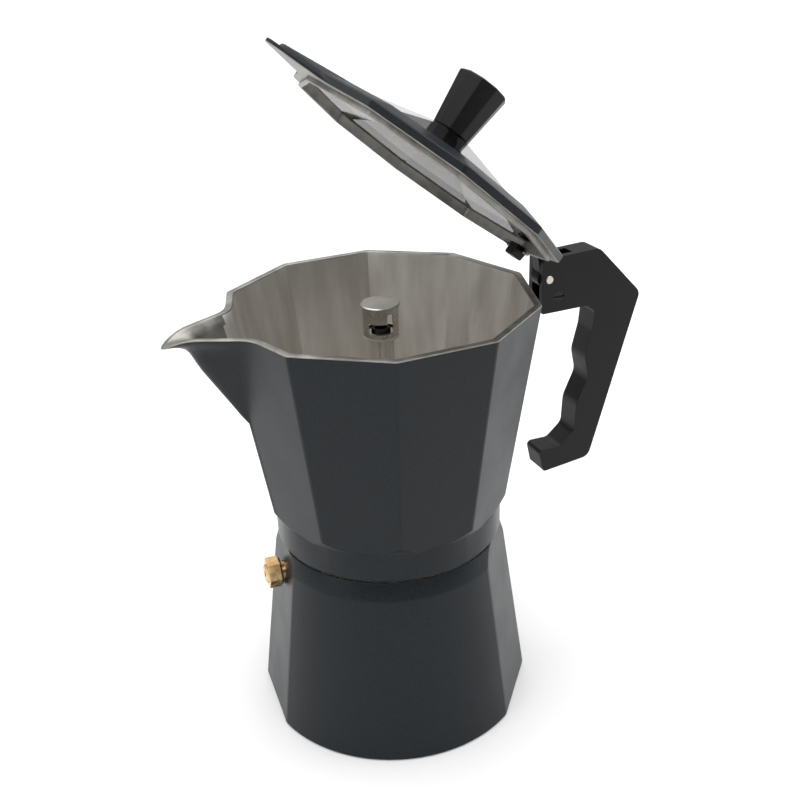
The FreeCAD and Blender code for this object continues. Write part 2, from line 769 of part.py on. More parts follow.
def make_lid_arm():
    """Black hinge leaf: an eye on the pin, an arm over the rim and a block under the lid ring."""
    top = lid_z + arm_depth()
    reach = rim_corner + 1.4
    outline = rounded_outline([
        (foot_inner() - block_reach, lid_z - block_drop, 0.8),
        (foot_outer() - 0.6, lid_z - block_drop, 0.8),
        (foot_outer(), lid_z + 0.2, 0.3),
        (reach, lid_z + 0.2, 0.8),
        (pivot_x - eye_r * 0.72, pivot_z - eye_r * 0.2, 0.5),
        (pivot_x, pivot_z, 0.3),
        (pivot_x + eye_r * 0.2, pivot_z + eye_r * 0.85, 0.3),
        (reach + 4.0, top, 1.2),
        (foot_inner(), top, 0.3),
        (foot_inner(), lid_z, 0.2),
        (foot_inner() - block_reach, lid_z, 0.5),
    ])
    arm = plate_xz(outline, arm_width)
    eye = cylinder(eye_r, arm_width, (pivot_x, -arm_width / 2, pivot_z), (0, 1, 0))
    foot = faceted([
        (foot_inner(), lid_z - foot_thickness), (foot_outer(), lid_z - foot_thickness),
        (foot_outer(), lid_z), (foot_inner(), lid_z),
    ], 0.0, True)
    foot = foot.common(box((0, -foot_half_width, lid_z - 3), (rim_corner, foot_half_width, lid_z + 1)))
    arm = joined([arm, eye, foot])
    bore_r = pin_r + pin_clearance
    arm = arm.cut(cylinder(bore_r, arm_width, (pivot_x, -arm_width / 2, pivot_z), (0, 1, 0)))
    for y in (-foot_screw_y(), foot_screw_y()):
        arm = arm.cut(cylinder(foot_screw_r(), 4, (foot_screw_x(), y, lid_z - 2)))
    return arm


def make_arm_screws():
    screws = []
    for y in (-foot_screw_y(), foot_screw_y()):
        shaft = cylinder(foot_screw_r(), 2 * foot_thickness, (foot_screw_x(), y, lid_z - foot_thickness))
        head = cylinder(foot_screw_r() * 1.7, 0.5, (foot_screw_x(), y, lid_z - foot_thickness - 0.5))
        screws.append(joined([head, shaft]))
    return Part.makeCompound(screws)


def window_top(corner_r):
    """Height of the window's sloping outer face at a corner radius."""
    edge = crown_z(window_corner) - lid_shell - 0.1
    return edge + window_rise * (window_corner - corner_r) / (window_corner - knob_seat_r)


def make_lid_window():
    """A clear shallow ten-sided dome, held by its edge under the ring's crown."""
    seat = window_top(knob_seat_r)
    hub = knob_screw_r + 0.1
    foot = window_top(window_corner) - window_edge
    return faceted([
        (window_corner, foot), (window_corner, window_top(window_corner)), (knob_seat_r, seat), (hub, seat),
        (hub, seat - window_wall), (knob_seat_r, seat - window_wall),
        (window_corner - window_wall * 2, foot),
    ], 0.0, True)


# ---- knob, with the nut, washer and screw under the window ----

def make_knob_parts():
    seat = window_top(knob_seat_r)
    hub_r = knob_screw_r
    top = seat + knob_height
    knob = faceted([
        (knob_base_corner, seat), (knob_top_corner, top - knob_edge), (knob_top_corner - knob_edge, top),
    ], half_side)
    knob = knob.cut(cylinder(hub_r, knob_screw_depth, (0, 0, seat)))
    washer_top = seat - window_wall
    washer = cylinder(washer_r, washer_thickness, (0, 0, washer_top - washer_thickness))
    washer = washer.cut(cylinder(hub_r, washer_thickness, (0, 0, washer_top - washer_thickness)))
    collar_top = washer_top - washer_thickness
    foot = collar_top - collar_height
    collar = turned([(hub_r, foot), (collar_r * 0.9, foot), (collar_r, foot + 0.7), (collar_r, collar_top),
                     (hub_r, collar_top)])
    shaft = cylinder(hub_r, seat + knob_screw_depth - foot, (0, 0, foot))
    head = Part.makeCone(washer_r - 2.6, washer_r - 1.4, 1.4, vec(0, 0, foot - 1.4), vec(0, 0, 1))
    slot = box((-washer_r, -0.4, foot - 2), (washer_r, 0.4, foot - 0.8))
    screw = joined([shaft, head]).cut(slot)
    return knob, collar, washer, screw


valve_body, valve_washer_ring, valve_pin, valve_spring, valve_retainer = make_valve()
knob, knob_collar, knob_washer, knob_screw = make_knob_parts()

write("boiler", make_boiler())
write("valve_body", valve_body)
write("valve_washer", valve_washer_ring)
write("valve_pin", valve_pin)
write("valve_spring", valve_spring)
write("valve_retainer", valve_retainer)
write("funnel", make_funnel())
write("funnel_sieve", make_sieve())
write("gasket", make_gasket())
write("filter_plate", make_filter_plate())
write("collector", make_collector())
write("column_cap", make_column_cap())
write("handle", make_handle())
write("handle_screw", make_handle_screw())
write("hinge_pin", make_hinge_pin())
write("lid_ring", opened(make_lid_ring()))
write("lid_window", opened(make_lid_window()))
write("lid_arm", opened(make_lid_arm()))
write("arm_screws", opened(make_arm_screws()))
write("knob", opened(knob))
write("knob_collar", opened(knob_collar))
write("knob_washer", opened(knob_washer))
write("knob_screw", opened(knob_screw))
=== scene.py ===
import bpy
import bmesh
import json
import math
from mathutils import Matrix, Vector


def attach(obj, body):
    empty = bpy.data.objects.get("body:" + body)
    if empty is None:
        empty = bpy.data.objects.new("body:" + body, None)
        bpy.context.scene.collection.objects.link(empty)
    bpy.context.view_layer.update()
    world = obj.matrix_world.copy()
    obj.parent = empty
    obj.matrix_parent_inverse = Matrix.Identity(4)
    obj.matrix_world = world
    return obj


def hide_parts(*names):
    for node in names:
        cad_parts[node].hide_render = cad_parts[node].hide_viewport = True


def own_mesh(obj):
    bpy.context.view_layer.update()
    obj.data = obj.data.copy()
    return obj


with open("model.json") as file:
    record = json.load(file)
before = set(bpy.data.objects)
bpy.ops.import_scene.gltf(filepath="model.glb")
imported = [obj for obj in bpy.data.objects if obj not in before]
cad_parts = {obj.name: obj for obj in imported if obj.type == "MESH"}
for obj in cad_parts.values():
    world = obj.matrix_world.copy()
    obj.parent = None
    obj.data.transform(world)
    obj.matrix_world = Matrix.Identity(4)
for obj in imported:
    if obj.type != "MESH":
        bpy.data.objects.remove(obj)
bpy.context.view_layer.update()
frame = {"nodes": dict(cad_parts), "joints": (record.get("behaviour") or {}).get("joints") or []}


# ---- Boiler ----------------------------------------------------------------------------------
# A thick ten-sided aluminium die casting, smooth round its front, with a turned shoulder whose
# edge is scalloped across the flats. Its outside is blasted and sprayed with a baked graphite
# coating; the threaded neck and the inside are bare metal.

mm = 0.001
sides = 10
corner_step = 360 // sides
flat = math.cos(math.pi / sides)
foot_corner = 50.0
boiler_top_corner = 40.9
boiler_height = 67.5
boiler_turn = 13.0


def linear(colour):
    """Linear RGBA of an sRGB hex colour."""
    parts = [int(colour[i:i + 2], 16) / 255 for i in (1, 3, 5)]
    return [p / 12.92 if p <= 0.04045 else ((p + 0.055) / 1.055) ** 2.4 for p in parts] + [1.0]


def add(tree, kind, inputs=None, **settings):
    """Adds a shader node; each input takes a value, or the output socket that feeds it."""
    node = tree.nodes.new("ShaderNode" + kind)
    for name, value in settings.items():
        setattr(node, name, value)
    for name, value in (inputs or {}).items():
        if isinstance(value, bpy.types.NodeSocket):
            tree.links.new(value, node.inputs[name])
        else:
            node.inputs[name].default_value = value
    return node


def new_finish(name):
    """An empty node material, with its place on the piece as pattern coordinates in metres."""
    material = bpy.data.materials.new(name)
    material.use_nodes = True
    tree = material.node_tree
    tree.nodes.clear()
    return material, tree, add(tree, "TexCoord").outputs["Object"]


def per_mm(size):
    """Noise scale that gives features about this many millimetres across."""
    return 1.0 / (size * mm)


# Most of a noise texture's values lie between these two.
noise_low = 0.35
noise_high = 0.65


def graphite_coating():
    """Sprayed and baked silicone coating on blasted aluminium: near black with a satin sheen that
    lifts it to grey at low angles, a fine orange peel, and slow drifts of gloss. Its specular level
    is not a known value: it is lowered from the default to match the object."""
    material, tree, place = new_finish("Graphite-coated aluminium")
    grit = add(tree, "TexNoise", {"Vector": place, "Scale": per_mm(0.7), "Detail": 3.0})
    cloud = add(tree, "TexNoise", {"Vector": place, "Scale": per_mm(16.0), "Detail": 2.0})
    blend = add(tree, "MapRange", {
        "Value": grit.outputs["Fac"], "From Min": noise_low, "From Max": noise_high,
    })
    tint = add(tree, "MixRGB", {
        "Fac": blend.outputs["Result"],
        "Color1": linear("#0c1115"), "Color2": linear("#141b20"),
    })
    relief = add(tree, "Bump", {"Height": grit.outputs["Fac"], "Strength": 0.1, "Distance": 0.12 * mm})
    gloss = add(tree, "MapRange", {
        "Value": cloud.outputs["Fac"], "From Min": noise_low, "From Max": noise_high,
        "To Min": 0.3, "To Max": 0.36,
    })
    shader = add(tree, "BsdfPrincipled", {
        "Base Color": tint.outputs["Color"], "Metallic": 0.0, "IOR": 1.45, "Specular IOR Level": 0.27,
        "Roughness": gloss.outputs["Result"],
        "Normal": relief.outputs["Normal"],
    })
    add(tree, "OutputMaterial", {"Surface": shader.outputs["BSDF"]})
    return material


def bare_aluminium():
    """Die-cast aluminium buffed with a soft wheel: grey metal with the faintest warmth, drawn out up
    the walls in soft dull and bright streaks, and too fine a brushing to mirror anything."""
    material, tree, place = new_finish("Buffed bare aluminium")
    drawn = add(tree, "Mapping", {"Vector": place, "Scale": (1.0, 1.0, 0.16)})
    streak = add(tree, "TexNoise", {"Vector": drawn.outputs["Vector"], "Scale": per_mm(5.0), "Detail": 4.0})
    brush = add(tree, "Mapping", {"Vector": place, "Scale": (1.0, 1.0, 0.04)})
    line = add(tree, "TexNoise", {"Vector": brush.outputs["Vector"], "Scale": per_mm(0.5), "Detail": 2.0})
    blend = add(tree, "MapRange", {
        "Value": streak.outputs["Fac"], "From Min": noise_low, "From Max": noise_high,
    })
    tint = add(tree, "MixRGB", {
        "Fac": blend.outputs["Result"],
        "Color1": linear("#c9c5bf"), "Color2": linear("#dbd8d3"),
    })
    wave = add(tree, "Bump", {"Height": streak.outputs["Fac"], "Strength": 0.1, "Distance": 0.4 * mm})
    relief = add(tree, "Bump", {
        "Height": line.outputs["Fac"], "Strength": 0.12, "Distance": 0.1 * mm,
        "Normal": wave.outputs["Normal"],
    })
    gloss = add(tree, "MapRange", {
        "Value": streak.outputs["Fac"], "From Min": noise_low, "From Max": noise_high,
        "To Min": 0.5, "To Max": 0.6,
    })
    shader = add(tree, "BsdfPrincipled", {
        "Base Color": tint.outputs["Color"], "Metallic": 1.0,
        "Roughness": gloss.outputs["Result"],
        "Normal": relief.outputs["Normal"],
    })
    add(tree, "OutputMaterial", {"Surface": shader.outputs["BSDF"]})
    return material


def eased(points, steps, across):
    """A closed outline through (corner, ease) pairs: each corner is rounded from ease mm before it
    to ease mm after it, and each straight run is divided for what is joined to it."""
    outline = []
    for i, (here, ease) in enumerate(points):
        before = points[i - 1][0]
        after, after_ease = points[(i + 1) % len(points)]
        start = here + (before - here).normalized() * ease
        end = here + (after - here).normalized() * ease
        for s in range(steps + 1):
            t = s / steps
            outline.append(start * (1 - t) ** 2 + here * 2 * t * (1 - t) + end * t ** 2)
        stop = after + (here - after).normalized() * after_ease
        for s in range(1, across + 1):
            outline.append(end.lerp(stop, s / (across + 1)))
    return outline


def polar(radius, degrees, z):
    a = math.radians(degrees)
    return Vector((radius * math.cos(a), radius * math.sin(a), z))


def ten_sided(corner_r, z, turn=0.0, ease=0.8, across=9):
    """The pot's ten-sided outline at one height."""
    return eased([(polar(corner_r, turn + corner_step * k, z), ease) for k in range(sides)], 4, across)


def round_like(outline, radius, z):
    """A circle whose points stand at the same angles as an outline's."""
    return [Vector((p.x, p.y, 0)).normalized() * radius + Vector((0, 0, z)) for p in outline]


def loft(bm, rings, finishes=None, wrapped=False, capped=False):
    """Skins rings that have the same number of points; finishes gives each band its material."""
    rows = [[bm.verts.new(p) for p in ring] for ring in rings]
    bands = list(zip(rows, rows[1:]))
    if wrapped:
        bands.append((rows[-1], rows[0]))
    for i, (low, high) in enumerate(bands):
        for k in range(len(low)):
            n = (k + 1) % len(low)
            face = bm.faces.new((low[k], low[n], high[n], high[k]))
            face.material_index = finishes[i] if finishes else 0
    if capped:
        for ring in (rows[0], rows[-1]):
            bm.faces.new(ring).material_index = finishes[-1] if finishes else 0


def piece(name, bm, body, stands_for, slot, *materials, sharp=38.0):
    """Turns a shape built in millimetres into a piece of the pot that moves with its body."""
    bmesh.ops.recalc_face_normals(bm, faces=bm.faces)
    bm.transform(Matrix.Scale(mm, 4))
    mesh = bpy.data.meshes.new(name)
    bm.to_mesh(mesh)
    bm.free()
    for material in materials:
        mesh.materials.append(material)
    mesh.shade_smooth()
    mesh.set_sharp_from_angle(angle=math.radians(sharp))
    obj = bpy.data.objects.new(name, mesh)
    bpy.context.scene.collection.objects.link(obj)
    weights = obj.modifiers.new("Flat faces stay flat", "WEIGHTED_NORMAL")
    weights.keep_sharp = True
    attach(obj, body)
    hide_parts(stands_for)
    return obj


coating = graphite_coating()
aluminium = bare_aluminium()


def boiler_corner(z):
    return foot_corner + (boiler_top_corner - foot_corner) * z / boiler_height


def build_boiler():
    shoulder_r = 39.6
    shoulder_drop = 6.2
    front_corner = 5
    front_sides = 3
    slope = (boiler_corner(boiler_height - shoulder_drop) - shoulder_r) / shoulder_drop
    taper = (foot_corner - boiler_top_corner) / boiler_height
    template = ten_sided(1.0, 0, boiler_turn, ease=0.016)
    front_start = boiler_turn + front_corner * corner_step
    front_end = front_start + front_sides * corner_step
    for p in template:
        if front_start <= math.degrees(math.atan2(p.y, p.x)) % 360 <= front_end:
            p.normalize()

    def crease(reach):
        """Height where the turned shoulder meets the casting, at a point this far out of corner 1."""
        z = (shoulder_r + slope * boiler_height - reach * foot_corner) / (slope - reach * taper)
        return min(z, boiler_height - 1.0)

    def row(lift, inset=0.0, fixed=None):
        ring = []
        for p in template:
            reach = math.hypot(p.x, p.y)
            z = fixed if fixed is not None else crease(reach) + lift
            r = min(reach * boiler_corner(z), shoulder_r + slope * (boiler_height - z)) - inset
            ring.append(Vector((p.x / reach * r, p.y / reach * r, z)))
        return ring

    def disc(radius, z):
        return round_like(template, radius, z)

    wall = 2.8 / flat
    floor_top = 4.0
    groove_depth = 0.6
    neck_r = 36.4
    neck_height = 12.5
    neck_top = boiler_height + neck_height
    bore_r = 33.2
    bore_foot = 61.9
    thread_margin = 1.4
    edge = 0.3
    rings = [
        (disc(22.0, 0.0), 0), (disc(22.3, groove_depth), 0),
        (disc(37.6, groove_depth), 0), (disc(38.0, 0.0), 0),
        (row(0, 0.9, 0.0), 0), (row(0, 0.25, 0.25), 0), (row(0, 0.0, 0.9), 0), (row(0, 0.0, 30.0), 0),
        (row(-0.5), 0), (row(0.0, 0.06), 0), (row(0.5), 0),
        (row(0, 0.0, boiler_height - 0.35), 0), (row(0, 0.4, boiler_height), 1),
        (disc(neck_r + edge, boiler_height), 1), (disc(neck_r, boiler_height + edge), 1),
        (disc(neck_r, neck_top - 2 * edge), 1), (disc(neck_r - 2 * edge, neck_top), 1),
        (disc(bore_r + edge, neck_top), 1), (disc(bore_r, neck_top - edge), 1), (disc(bore_r, bore_foot), 1),
        (ten_sided(boiler_corner(bore_foot) - wall, bore_foot, boiler_turn), 1),
        (ten_sided(foot_corner - wall - 0.8, floor_top + 0.8, boiler_turn), 1),
        (ten_sided(foot_corner - wall - 2.0, floor_top, boiler_turn), 1), (disc(20.0, floor_top), 1),
    ]
    bm = bmesh.new()
    loft(bm, [ring for ring, finish in rings], [finish for ring, finish in rings], capped=True)
    thread(bm, neck_r, boiler_height + thread_margin, neck_top - thread_margin)
    piece("boiler_casting", bm, "boiler", "boiler", "coated_aluminium", coating, aluminium)


def thread(bm, root_r, low, high, pitch=3.0, depth=0.9):
    """The rolled thread that the collector screws down: one rounded ridge that dies out at its ends."""
    turn_steps = 72
    fade_steps = 12
    half = 0.96
    section = [
        (-0.3, -half), (depth * 0.6, -0.62), (depth, -0.3), (depth, 0.3), (depth * 0.6, 0.62), (-0.3, half),
    ]
    low, high = low + half, high - half
    count = int((high - low) / pitch * turn_steps)
    rows = []
    for i in range(count + 1):
        fade = min(1.0, i / fade_steps, (count - i) / fade_steps)
        z = low + (high - low) * i / count
        rows.append([
            bm.verts.new(polar(root_r + (out * fade if out > 0 else out), 360 * i / turn_steps, z + up))
            for out, up in section
        ])
    for a, b in zip(rows, rows[1:]):
        for k in range(len(section)):
            n = (k + 1) % len(section)
            bm.faces.new((a[k], a[n], b[n], b[k])).material_index = 1
    bm.faces.new(rows[0]).material_index = 1
    bm.faces.new(rows[-1]).material_index = 1


build_boiler()


# ---- Safety valve ----------------------------------------------------------------------------
# A hexagonal brass body screwed into a boiler facet on a black rubber washer. Its poppet's tip
# stands out through a pressed retainer, and a small steel spring behind it sets the pressure.

def softened(node, width, sharpest=28.0, segments=2):
    """A node's solid in millimetres, with every sharp edge broken by a small rounded bevel."""
    bm = bmesh.new()
    bm.from_mesh(frame["nodes"][node].data)
    bm.transform(Matrix.Scale(1 / mm, 4))
    bmesh.ops.remove_doubles(bm, verts=bm.verts, dist=0.002)
    bmesh.ops.dissolve_limit(bm, angle_limit=math.radians(1.0), verts=bm.verts, edges=bm.edges)
    edges = [e for e in bm.edges if len(e.link_faces) == 2 and e.calc_face_angle() > math.radians(sharpest)]
    bmesh.ops.bevel(bm, geom=edges, offset=width, offset_type="OFFSET", segments=segments, profile=0.5,
                    affect="EDGES", clamp_overlap=True)
    return bm


def turned_brass():
    """Free-machining brass: warm yellow metal with fine tool rings and a few duller, handled spots."""
    material, tree, place = new_finish("Turned brass")
    tool = add(tree, "TexNoise", {"Vector": place, "Scale": per_mm(0.35), "Detail": 2.0})
    patch = add(tree, "TexNoise", {"Vector": place, "Scale": per_mm(3.0), "Detail": 2.0})
    blend = add(tree, "MapRange", {
        "Value": patch.outputs["Fac"], "From Min": noise_low, "From Max": noise_high,
    })
    tint = add(tree, "MixRGB", {
        "Fac": blend.outputs["Result"],
        "Color1": linear("#c79e69"), "Color2": linear("#e8cb9b"),
    })
    relief = add(tree, "Bump", {"Height": tool.outputs["Fac"], "Strength": 0.15, "Distance": 0.05 * mm})
    gloss = add(tree, "MapRange", {
        "Value": patch.outputs["Fac"], "From Min": noise_low, "From Max": noise_high,
        "To Min": 0.2, "To Max": 0.34,
    })
    shader = add(tree, "BsdfPrincipled", {
        "Base Color": tint.outputs["Color"], "Metallic": 1.0,
        "Roughness": gloss.outputs["Result"],
        "Normal": relief.outputs["Normal"],
    })
    add(tree, "OutputMaterial", {"Surface": shader.outputs["BSDF"]})
    return material


def plain_steel():
    """Zinc-plated steel wire and screws: neutral grey, bright, with fine drawing marks."""
    material, tree, place = new_finish("Zinc-plated steel")
    mark = add(tree, "TexNoise", {"Vector": place, "Scale": per_mm(0.5), "Detail": 3.0})
    blend = add(tree, "MapRange", {
        "Value": mark.outputs["Fac"], "From Min": noise_low, "From Max": noise_high,
    })
    tint = add(tree, "MixRGB", {
        "Fac": blend.outputs["Result"],
        "Color1": linear("#9b9c9e"), "Color2": linear("#bcbdbf"),
    })
    gloss = add(tree, "MapRange", {
        "Value": mark.outputs["Fac"], "From Min": noise_low, "From Max": noise_high,
        "To Min": 0.22, "To Max": 0.36,
    })
    shader = add(tree, "BsdfPrincipled", {
        "Base Color": tint.outputs["Color"], "Metallic": 1.0,
        "Roughness": gloss.outputs["Result"],
    })
    add(tree, "OutputMaterial", {"Surface": shader.outputs["BSDF"]})
    return material


def moulded_rubber(name, dark, light, roughness):
    """Moulded silicone or nitrile rubber: matt, with a slight bloom and a fine moulded grain."""
    material, tree, place = new_finish(name)
    bloom = add(tree, "TexNoise", {"Vector": place, "Scale": per_mm(4.0), "Detail": 3.0})
    grain = add(tree, "TexNoise", {"Vector": place, "Scale": per_mm(0.4), "Detail": 2.0})
    blend = add(tree, "MapRange", {
        "Value": bloom.outputs["Fac"], "From Min": noise_low, "From Max": noise_high,
    })
    tint = add(tree, "MixRGB", {
        "Fac": blend.outputs["Result"], "Color1": linear(dark), "Color2": linear(light),
    })
    relief = add(tree, "Bump", {"Height": grain.outputs["Fac"], "Strength": 0.2, "Distance": 0.05 * mm})
    gloss = add(tree, "MapRange", {
        "Value": bloom.outputs["Fac"], "From Min": noise_low, "From Max": noise_high,
        "To Min": roughness - 0.06, "To Max": roughness + 0.06,
    })
    shader = add(tree, "BsdfPrincipled", {
        "Base Color": tint.outputs["Color"], "IOR": 1.45, "Normal": relief.outputs["Normal"],
        "Roughness": gloss.outputs["Result"],
    })
    add(tree, "OutputMaterial", {"Surface": shader.outputs["BSDF"]})
    return material


brass = turned_brass()
steel = plain_steel()
black_rubber = moulded_rubber("Black nitrile rubber", "#17171a", "#242427", 0.62)
piece("valve_hexagon", softened("valve_body", 0.22), "boiler", "valve_body", "brass", brass, sharp=25.0)
piece("valve_poppet", softened("valve_pin", 0.15), "valve_pin", "valve_pin", "brass", brass)


def repaint(node, material):
    """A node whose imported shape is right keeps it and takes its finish."""
    mesh = frame["nodes"][node].data
    mesh.materials.clear()
    mesh.materials.append(material)


repaint("valve_washer", black_rubber)
repaint("valve_retainer", brass)


def build_spring():
    """The coil behind the poppet. It is held at the retainer."""
    bm = bmesh.new()
    bm.from_mesh(frame["nodes"]["valve_spring"].data)
    bm.transform(Matrix.Scale(1 / mm, 4))
    coil = piece("valve_coil", bm, "boiler", "valve_spring", "steel", steel)
    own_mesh(coil)


build_spring()


# ---- Funnel, sieve, gasket and filter plate --------------------------------------------------
# The coffee basket and its stem are spun from thin aluminium, with a punched sieve pressed in.
# A white silicone gasket and a punched plate close the collector's underside above it.

white_rubber = moulded_rubber("White silicone rubber", "#cfccc4", "#e4e1da", 0.5)
repaint("funnel", aluminium)
repaint("funnel_sieve", aluminium)
repaint("filter_plate", aluminium)
repaint("gasket", white_rubber)


# ---- Collector -------------------------------------------------------------------------------
# The upper vessel is one casting: a round skirt, ten flats that widen to the rim, and a pinched
# spout. It is coated outside and buffed bare inside, and its rim and the spout's trough stay as
# they were cast. A ribbed column carries the coffee up through the middle.

skirt_z = 68.5
skirt_r = 40.1
base_z = 80.8
rim_z = 153.0
base_corner = 42.2
rim_corner = 53.4
collector_wall = 2.5
floor_z = 87.4
spout_depth = 35.0
spout_tip_dip = 3.2
riser_foot = 89.9
riser_bore_r = 2.2


def painted_shade_metal():
    """Painted shade: dark brownish metal put round the column's mouth and inside its can, darker
    than the bare metal there so that it stands in for the shade of those hidden places."""
    material, tree, place = new_finish("Dark metal with painted shade")
    mottle = add(tree, "TexNoise", {"Vector": place, "Scale": per_mm(2.0), "Detail": 3.0})
    blend = add(tree, "MapRange", {
        "Value": mottle.outputs["Fac"], "From Min": noise_low, "From Max": noise_high,
    })
    tint = add(tree, "MixRGB", {
        "Fac": blend.outputs["Result"],
        "Color1": linear("#1b1715"), "Color2": linear("#3a332e"),
    })
    gloss = add(tree, "MapRange", {
        "Value": mottle.outputs["Fac"], "From Min": noise_low, "From Max": noise_high,
        "To Min": 0.45, "To Max": 0.6,
    })
    shader = add(tree, "BsdfPrincipled", {
        "Base Color": tint.outputs["Color"], "Metallic": 0.6,
        "Roughness": gloss.outputs["Result"],
    })
    add(tree, "OutputMaterial", {"Surface": shader.outputs["BSDF"]})
    return material


def dull_aluminium():
    """Aluminium as it left the die, on the rim, in the spout and under the lid: grey, cloudy and
    never buffed."""
    material, tree, place = new_finish("As-cast aluminium")
    cloud = add(tree, "TexNoise", {"Vector": place, "Scale": per_mm(6.0), "Detail": 3.0})
    grit = add(tree, "TexNoise", {"Vector": place, "Scale": per_mm(0.6), "Detail": 2.0})
    blend = add(tree, "MapRange", {
        "Value": cloud.outputs["Fac"], "From Min": noise_low, "From Max": noise_high,
    })
    tint = add(tree, "MixRGB", {
        "Fac": blend.outputs["Result"], "Color1": linear("#807e79"), "Color2": linear("#9e9c97"),
    })
    relief = add(tree, "Bump", {"Height": grit.outputs["Fac"], "Strength": 0.15, "Distance": 0.1 * mm})
    gloss = add(tree, "MapRange", {
        "Value": cloud.outputs["Fac"], "From Min": noise_low, "From Max": noise_high,
        "To Min": 0.4, "To Max": 0.52,
    })
    shader = add(tree, "BsdfPrincipled", {
        "Base Color": tint.outputs["Color"], "Metallic": 1.0, "Normal": relief.outputs["Normal"],
        "Roughness": gloss.outputs["Result"],
    })
    add(tree, "OutputMaterial", {"Surface": shader.outputs["BSDF"]})
    return material


# Dark metal painted as shade inside the column's can and round the column's mouth.
painted_shade = painted_shade_metal()
cast_aluminium = dull_aluminium()


def collector_corner(z):
    return base_corner + (rim_corner - base_corner) * (z - base_z) / (rim_z - base_z)


def crossing(p, along_p, q, along_q):
    """Where two lines in plan meet."""
    turn = along_p.x * along_q.y - along_p.y * along_q.x
    t = ((q.x - p.x) * along_q.y - (q.y - p.y) * along_q.x) / turn
    return p + along_p * t


def prowed(corner_r, z, ease, nose, half_width, nose_ease, inset=0.0, nose_inset=0.0, across=9):
    """The ten-sided outline with a spout at its -X corner: two sides leave the flats half_width from
    the middle and run into a rounded nose. inset draws it in by a wall's thickness."""
    root = Vector((-(corner_r - half_width * math.tan(math.pi / sides)), half_width))
    apex = Vector((-nose, 0.0))
    for _ in range(3):
        slope = (apex - root).normalized()
        apex.x = -(nose + 0.5 * nose_ease * abs(slope.x))
    slope = (apex - root).normalized()
    inward = Vector((-slope.y, slope.x))
    if inward.x < 0:
        inward = -inward
    drawn_root = root + inward * nose_inset
    drawn_apex = crossing(drawn_root, slope, Vector((0, 0)), Vector((1, 0)))
    drawn_corner = corner_r - inset / flat
    flat_start = Vector(polar(drawn_corner, 144, 0)[:2])
    flat_end = Vector(polar(drawn_corner, 180, 0)[:2])
    meet = crossing(flat_start, flat_end - flat_start, drawn_root, slope)
    if abs(meet.y - half_width) > half_width * 0.6:
        meet = flat_end.lerp(flat_start, half_width / (2 * drawn_corner * math.sin(math.pi / sides)))
    blend = min(nose_ease * 0.5, meet.y * 0.45)
    sharp = max(nose_ease - nose_inset / math.tan(math.acos(min(0.999, abs(slope.x)))), 0.5)
    sharp = min(sharp, (meet - drawn_apex).length * 0.5)
    points = [(polar(drawn_corner, 216 + corner_step * k, z), ease) for k in range(sides - 1)]
    points += [
        (Vector((meet.x, meet.y, z)), blend),
        (Vector((drawn_apex.x, 0, z)), sharp),
        (Vector((meet.x, -meet.y, z)), blend),
    ]
    return eased(points, 6, across)


def collector_ring(depth, inset=0.0, lift=0.0, ease=0.8):
    """The collector's outline this far below the rim. lift sinks the channel's floor less than the
    keel, and ease is how far its corners are rounded."""
    z = rim_z - depth
    keel_reach = 69.2
    keel_slope = 0.6
    flare = 6.0
    flare_depth = 3.2
    widest = 14.5
    narrowest = 1.4
    curl_start = 63.0
    curl_length = 10.0
    dip_depth = 12
    low = min(depth + lift, spout_depth)
    share = 1 - low / spout_depth
    corner = collector_corner(z)
    keel_depth = low + spout_tip_dip * max(0.0, 1 - low / dip_depth)
    nose = keel_reach - keel_slope * keel_depth + flare * math.exp(-((low / flare_depth) ** 2))
    half_width = max(widest * share, narrowest)
    nose = max(nose, corner) if share > 0 else corner
    nose_ease = 1.0 + 8.0 * share
    ring = prowed(corner, z, ease, nose, half_width, nose_ease, inset, inset * 0.8)
    for p in ring:
        curl = max(0.0, (-p.x - curl_start) / curl_length)
        p.z -= spout_tip_dip * curl ** 2 * max(0.0, 1 - depth / dip_depth)
    return ring


